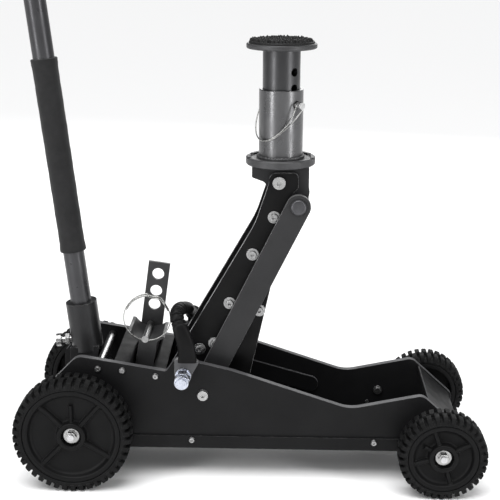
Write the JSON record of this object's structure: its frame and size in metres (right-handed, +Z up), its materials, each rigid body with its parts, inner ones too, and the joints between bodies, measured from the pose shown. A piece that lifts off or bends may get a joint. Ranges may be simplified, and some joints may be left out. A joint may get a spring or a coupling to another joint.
{
  "type": "hydraulic floor jack",
  "caption": "Low off-road hydraulic floor jack with lugged wheels, parallelogram lift arm, pinned saddle extension and upright pump handle.",
  "frame": {"origin": "on the floor, under the middle of the overall box", "axes": "+X towards the saddle end, +Y to the left, +Z up"},
  "size_m": [0.7521, 0.3, 1.2116],
  "materials": {
    "plate": "satin near-black paint",
    "skid": "satin near-black paint",
    "arm": "satin black with bright machined edges",
    "link": "dark grey satin powder coat",
    "bright_fastener": "bright plated steel",
    "zinc": "blue zinc plated",
    "axle": "ground steel",
    "dark_pin": "black oxide",
    "rim": "moulded black nylon",
    "tyre": "black solid rubber",
    "casting": "painted casting",
    "spring": "spring steel",
    "column": "grey metallic powder coat",
    "saddle": "dark grey powder coat",
    "grip_pad": "studded black rubber",
    "pin_steel": "zinc plated",
    "keeper_wire": "bright spring wire",
    "foam": "matte foam rubber",
    "grip_rubber": "moulded rubber",
    "lug": "grey powder coat",
    "cradle": "dark grey powder coat"
  },
  "bodies": {
    "frame": {"side_plate_right": "plate", "side_plate_left": "plate", "skid_plate": "skid", "front_cross_plate": "skid", "tie_rod": "bright_fastener", "frame_screws": "bright_fastener", "rear_axle": "axle", "front_axle": "axle", "axle_nuts": "bright_fastener", "arm_shaft": "zinc", "arm_shaft_nuts": "zinc", "link_bolts": "bright_fastener", "hydraulic_block": "casting", "reservoir_tube": "casting", "ram_cylinder": "casting", "pump_barrel": "casting", "pump_spring": "spring", "handle_pivot_bolts": "bright_fastener", "storage_tray": "skid", "storage_cradle": "cradle", "storage_post": "cradle", "carry_lugs": "lug", "carry_boots": "grip_rubber", "carry_grip": "grip_rubber"},
    "spare_pin": {"stored_pin": "pin_steel", "stored_pin_ring": "keeper_wire"},
    "arm": {"arm_plate_right": "arm", "arm_plate_left": "arm", "arm_spacers": "bright_fastener", "arm_bolts": "bright_fastener", "crank_pin": "axle", "head_shaft": "bright_fastener"},
    "links": {"link_bar_right": "link", "link_bar_left": "link"},
    "head": {"saddle_head": "link", "link_pins": "dark_pin"},
    "saddle": {"saddle_collar": "saddle", "extension_outer_tube": "column", "extension_inner_tube": "column", "top_plate": "saddle", "grip_pad": "grip_pad", "extension_pin": "pin_steel", "extension_pin_ring": "keeper_wire"},
    "ram": {"ram": "axle"},
    "plunger": {"pump_plunger": "axle"},
    "socket": {"handle_socket": "column", "clamp_screw": "bright_fastener"},
    "roller": {"pump_roller": "axle"},
    "handle": {"handle_tube": "column", "foam_sleeve": "foam", "hand_grip": "grip_rubber"},
    "valve": {"release_valve": "axle"},
    "wheel_rear_right": {"rear_rim_right": "rim", "rear_tyre_right": "tyre"},
    "wheel_rear_left": {"rear_rim_left": "rim", "rear_tyre_left": "tyre"},
    "wheel_front_right": {"front_rim_right": "rim", "front_tyre_right": "tyre"},
    "wheel_front_left": {"front_rim_left": "rim", "front_tyre_left": "tyre"}
  },
  "joints": [
    {"name": "arm_lift", "type": "hinge", "parent": "frame", "child": "arm", "pos_m": [-0.08493, 0, 0.172], "axis": [0, -1, 0], "range_deg": [-68, 0]},
    {"name": "link_swing", "type": "hinge", "parent": "frame", "child": "links", "pos_m": [-0.05543, 0, 0.138], "axis": [0, -1, 0], "range_deg": [-68, 0]},
    {"name": "head_level", "type": "hinge", "parent": "arm", "child": "head", "pos_m": [0.05807, 0, 0.463], "axis": [0, -1, 0], "range_deg": [0, 68]},
    {"name": "ram_stroke", "type": "slide", "parent": "frame", "child": "ram", "axis": [1, 0, 0], "range_m": [-0.0672, 0]},
    {"name": "saddle_swivel", "type": "hinge", "parent": "head", "child": "saddle", "pos_m": [0.05977, 0, 0.4845], "axis": [0, 0, 1], "continuous": true},
    {"name": "handle_pump", "type": "hinge", "parent": "frame", "child": "socket", "pos_m": [-0.24193, 0, 0.158], "axis": [0, -1, 0], "range_deg": [0, 55]},
    {"name": "plunger_stroke", "type": "slide", "parent": "frame", "child": "plunger", "axis": [0, 0, -1], "range_m": [0, 0.0194], "deforming": ["pump_spring"]},
    {"name": "roller_spin", "type": "hinge", "parent": "socket", "child": "roller", "pos_m": [-0.26056, 0, 0.1677], "axis": [0, -1, 0], "continuous": true},
    {"name": "handle_twist", "type": "hinge", "parent": "socket", "child": "handle", "pos_m": [-0.24193, 0, 0.158], "axis": [-0.1106, 0, 0.9939], "range_deg": [0, 90]},
    {"name": "valve_turn", "type": "hinge", "parent": "frame", "child": "valve", "pos_m": [-0.24193, 0, 0.158], "axis": [-0.1106, 0, 0.9939], "range_deg": [0, 90]},
    {"name": "spare_pin_draw", "type": "slide", "parent": "frame", "child": "spare_pin", "axis": [0, -1, 0], "range_m": [0, 0.1]},
    {"name": "rear_right_wheel_spin", "type": "hinge", "parent": "frame", "child": "wheel_rear_right", "pos_m": [-0.25093, 0, 0.09], "axis": [0, 1, 0], "continuous": true},
    {"name": "rear_left_wheel_spin", "type": "hinge", "parent": "frame", "child": "wheel_rear_left", "pos_m": [-0.25093, 0, 0.09], "axis": [0, 1, 0], "continuous": true},
    {"name": "front_right_wheel_spin", "type": "hinge", "parent": "frame", "child": "wheel_front_right", "pos_m": [0.30907, 0, 0.067], "axis": [0, 1, 0], "continuous": true},
    {"name": "front_left_wheel_spin", "type": "hinge", "parent": "frame", "child": "wheel_front_left", "pos_m": [0.30907, 0, 0.067], "axis": [0, 1, 0], "continuous": true}
  ],
  "couplings": [
    {"joint": "link_swing", "follows": "arm_lift", "ratio": 1},
    {"joint": "head_level", "follows": "arm_lift", "ratio": -1},
    {"joint": "ram_stroke", "follows": "arm_lift", "m_per_rad": 0.05654},
    {"joint": "plunger_stroke", "follows": "handle_pump", "m_per_rad": 0.020203},
    {"joint": "valve_turn", "follows": "handle_twist", "ratio": 1}
  ]
}
